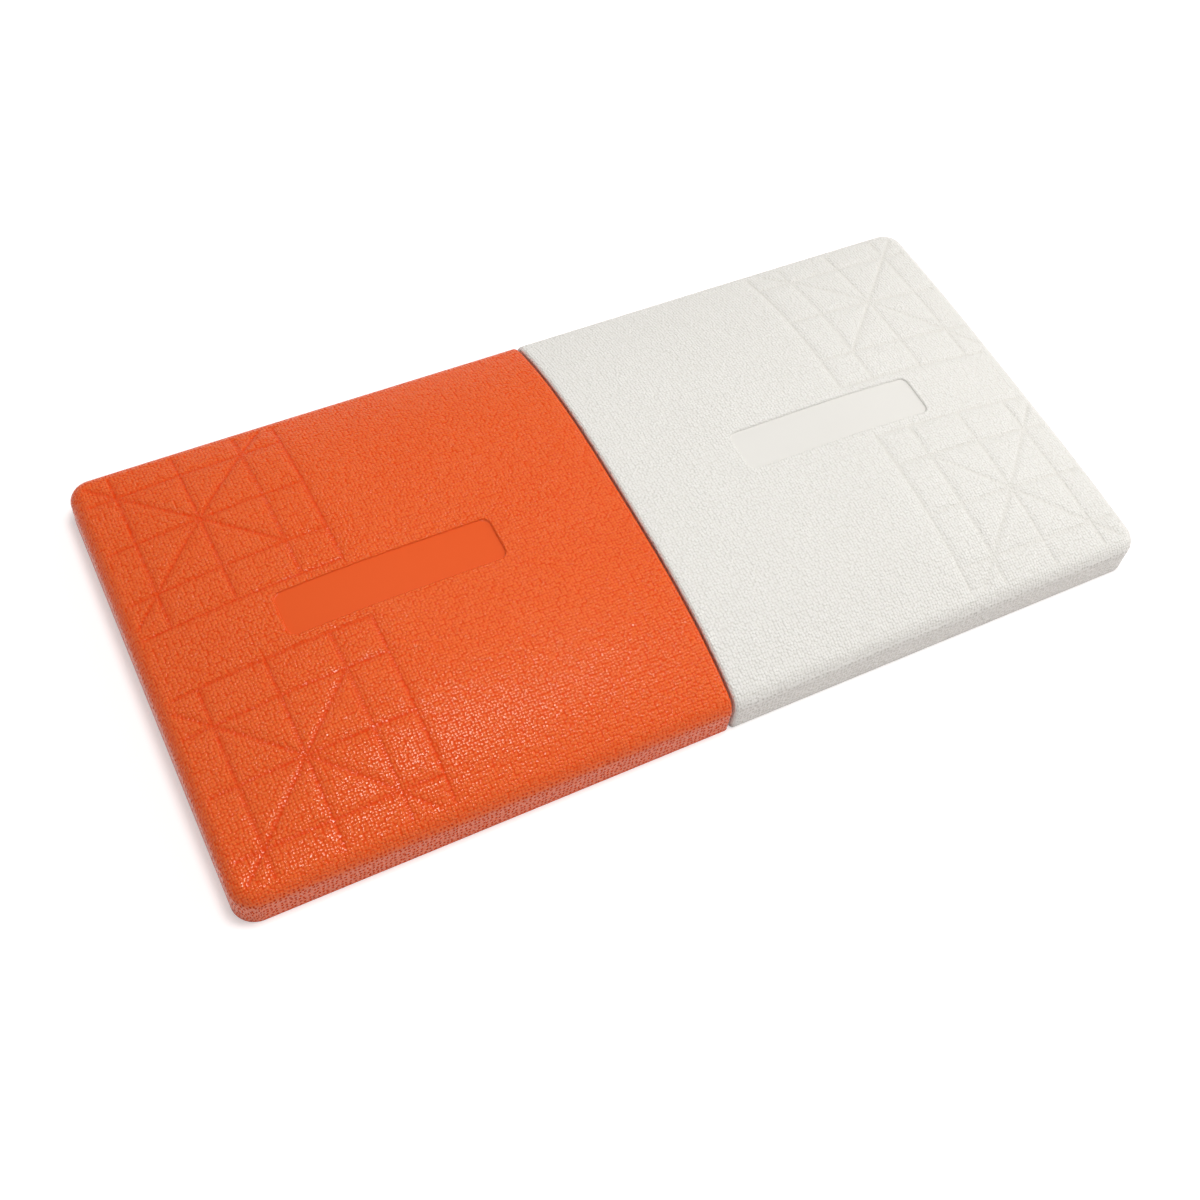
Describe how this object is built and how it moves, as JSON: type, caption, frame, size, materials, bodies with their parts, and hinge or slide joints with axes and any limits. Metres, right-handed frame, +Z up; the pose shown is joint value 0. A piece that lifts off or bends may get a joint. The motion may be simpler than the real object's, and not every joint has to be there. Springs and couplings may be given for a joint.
{
  "type": "double first base",
  "caption": "Double first base: an orange and a white crowned rubber base side by side, with tread lines in the outer corners and a bare panel on each, joined by pins at the seam.",
  "frame": {"origin": "on the ground under the middle of the pair, on the seam between the halves", "axes": "+X along the pair from the orange half to the white half, +Y across it, +Z up"},
  "size_m": [0.762, 0.381, 0.059],
  "materials": {
    "orange_rubber": "satin",
    "white_rubber": "satin",
    "foam": "matte",
    "galvanised_steel": "satin",
    "zinc_plated_steel": "satin",
    "black_nylon": "matte"
  },
  "bodies": {
    "white_half": {"white_cover": "white_rubber", "white_foam_core": "foam", "white_base_plate": "galvanised_steel", "white_clamp_frame": "galvanised_steel", "white_stem_seat": "galvanised_steel", "white_stem_nut_1": "zinc_plated_steel", "white_stem_nut_2": "zinc_plated_steel", "white_stem_nut_3": "zinc_plated_steel", "white_stem_nut_4": "zinc_plated_steel", "white_plate_screw_1": "zinc_plated_steel", "white_plate_screw_2": "zinc_plated_steel", "white_plate_screw_3": "zinc_plated_steel", "white_plate_screw_4": "zinc_plated_steel", "white_plate_screw_5": "zinc_plated_steel", "white_plate_screw_6": "zinc_plated_steel", "white_plate_screw_7": "zinc_plated_steel", "white_plate_screw_8": "zinc_plated_steel", "white_joining_pin_1": "zinc_plated_steel", "white_joining_pin_2": "zinc_plated_steel", "white_pin_nut_1": "zinc_plated_steel", "white_pin_nut_2": "zinc_plated_steel"},
    "orange_half": {"orange_cover": "orange_rubber", "orange_foam_core": "foam", "orange_base_plate": "galvanised_steel", "orange_clamp_frame": "galvanised_steel", "orange_stem_seat": "galvanised_steel", "orange_stem_nut_1": "zinc_plated_steel", "orange_stem_nut_2": "zinc_plated_steel", "orange_stem_nut_3": "zinc_plated_steel", "orange_stem_nut_4": "zinc_plated_steel", "orange_plate_screw_1": "zinc_plated_steel", "orange_plate_screw_2": "zinc_plated_steel", "orange_plate_screw_3": "zinc_plated_steel", "orange_plate_screw_4": "zinc_plated_steel", "orange_plate_screw_5": "zinc_plated_steel", "orange_plate_screw_6": "zinc_plated_steel", "orange_plate_screw_7": "zinc_plated_steel", "orange_plate_screw_8": "zinc_plated_steel", "orange_pin_sleeve_1": "black_nylon", "orange_pin_sleeve_2": "black_nylon"}
  },
  "joints": [
    {"name": "halves_pull_apart", "type": "slide", "parent": "white_half", "child": "orange_half", "axis": [-1, 0, 0], "range_m": [0, 0.06]}
  ]
}
